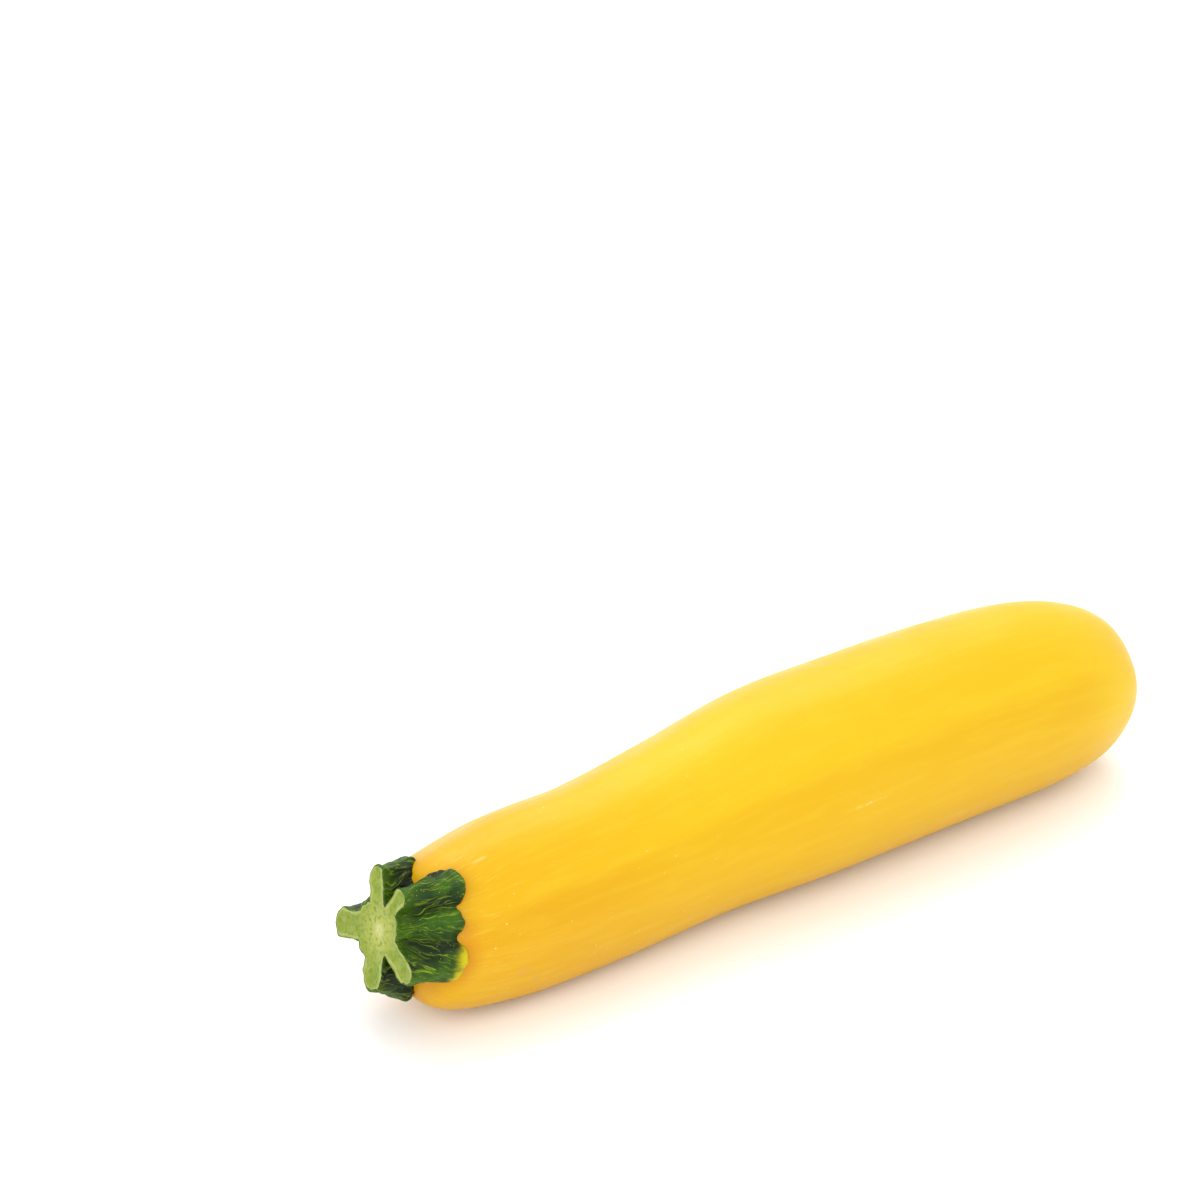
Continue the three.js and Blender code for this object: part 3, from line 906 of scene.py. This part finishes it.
# %% Cut face material
tree, cut, cut_material = new_material("stalk_cut")
place = stored(tree, "place", "Vector")
edge = stored(tree, "to_edge")
from_middle = add(tree, "VectorMath", {0: place}, operation="LENGTH").outputs["Value"]
mottle = cloud(tree, place, 0.8 * MM, 4.0)
patchy = cloud(tree, place, 3.2 * MM, 2.0)
outwards = ramp(tree, from_middle, 0.5 * MM, 8 * MM)
colour = mix(tree, outwards, paint(192, 198, 88), paint(140, 162, 34))
colour = mix(tree, ramp(tree, patchy, 0.42, 0.62, 0.0, 0.3), colour, paint(194, 200, 96))
colour = mix(tree, ramp(tree, mottle, 0.45, 0.7, 0.0, 0.7), colour, paint(106, 138, 26))
bundles = use(tree, flecks, Place=place, Spacing=1.1 * MM, Size=0.3, Kept=0.45)
colour = mix(tree, times(tree, bundles, 0.55), colour, paint(96, 134, 34))
pith = times(tree, ramp(tree, from_middle, 2.4 * MM, 0.2 * MM), ramp(tree, mottle, 0.35, 0.6))
colour = mix(tree, times(tree, pith, 0.8), colour, paint(238, 238, 180))
inside_rim = ramp(tree, edge, 0.3 * MM, 0.5 * MM)
rim_line = times(tree, inside_rim, ramp(tree, edge, 0.95 * MM, 0.6 * MM))
colour = mix(tree, times(tree, rim_line, 0.5), colour, paint(200, 210, 124))
ragged_edge = calc(tree, "ADD", edge, times(tree, mottle, 0.2 * MM))
rind_edge = ramp(tree, ragged_edge, 0.42 * MM, 0.2 * MM)
colour = mix(tree, times(tree, rind_edge, 0.85), colour, paint(54, 88, 20))
tree.links.new(colour, cut["Base Color"])
tree.links.new(ramp(tree, mottle, 0.35, 0.7, 0.38, 0.55), cut["Roughness"])
relief = calc(tree, "ADD", mottle, times(tree, bundles, -0.4))
tree.links.new(bumped(tree, relief, 0.12 * MM), cut["Normal"])
cut["Specular IOR Level"].default_value = 0.3
cut["Subsurface Weight"].default_value = 0.2
cut["Subsurface Radius"].default_value = (0.8, 1.0, 0.3)
cut["Subsurface Scale"].default_value = 1.2 * MM
print("cut face nodes:", len(tree.nodes))

# %% [markdown]
# ## Give the pieces their materials
# The fruit has one material. The stalk has two, and each of its faces knows which, so the border between
# rind and cut is as sharp as the knife left it.

# %% Assign the materials
fruit.data.materials.append(skin_material)
stalk.data.materials.append(rind_material)
stalk.data.materials.append(cut_material)
stalk.data.polygons.foreach_set("material_index", is_face.astype(np.int32))
print("materials:", [item.name for item in (*fruit.data.materials, *stalk.data.materials)])

# %% [markdown]
# ## Put the pieces on the frame
# Each fine piece rides on the one body and stands for its imported node. The greatest distance from the
# imported node's points to the fine mesh is printed, as a check that no shape has changed. It is larger for
# the stalk, whose hidden end lies flat inside the fruit.

# %% Ride, replace, measure
for piece, node, slot in ((fruit, "fruit", "skin"), (stalk, "stalk", "stalk")):
    fine_tree = BVHTree.FromObject(piece, bpy.context.evaluated_depsgraph_get())
    gaps = [fine_tree.find_nearest(vertex.co)[3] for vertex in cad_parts[node].data.vertices]
    print(piece.name, "is at most %.2f mm from its packed node's points" % (max(gaps) / MM))
    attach(piece, "root")
    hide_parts(node)

# %% [markdown]
# ## Floor, light and colour
# A plain white table, a bright even sky all round, one large soft lamp high behind on the right and a
# weaker one in front on the left. The sky fills the shadows, as white walls do in a studio, and the table
# throws light back on the underside. Colours are shown as they are, without a film look.

# %% Stage and lights
def area_light(name, place, size, watts):
    """A round soft lamp that shines at the zucchini."""
    lamp = bpy.data.lights.new(name, "AREA")
    lamp.shape, lamp.size, lamp.energy = "DISK", size, watts
    made = bpy.data.objects.new(name, lamp)
    made.location = place
    made.rotation_euler = Vector(place).to_track_quat("Z", "Y").to_euler()
    bpy.context.collection.objects.link(made)


HALF_FLOOR = 4.0
corners = [(x * HALF_FLOOR, y * HALF_FLOOR, 0) for x, y in ((-1, -1), (1, -1), (1, 1), (-1, 1))]
floor_mesh = bpy.data.meshes.new("floor")
floor_mesh.from_pydata(corners, [], [(0, 1, 2, 3)])
floor = bpy.data.objects.new("floor", floor_mesh)
bpy.context.collection.objects.link(floor)
_, floor_inputs, floor_material = new_material("floor")
floor_inputs["Base Color"].default_value = (0.97, 0.96, 0.95, 1)
floor_inputs["Roughness"].default_value = 0.9
floor_inputs["Specular IOR Level"].default_value = 0.1
floor_mesh.materials.append(floor_material)

world = bpy.data.worlds.new("studio")
world.use_nodes = True
sky = world.node_tree.nodes["Background"].inputs
sky["Color"].default_value = (1, 1, 1, 1)
sky["Strength"].default_value = 1.2
bpy.context.scene.world = world
area_light("softbox", (0.5, 0.8, 1.5), 1.4, 12)
area_light("fill", (-0.9, -0.9, 1.0), 1.6, 8)
bpy.context.scene.view_settings.view_transform = "Standard"
print("lamps:", [item.name for item in bpy.data.lights])
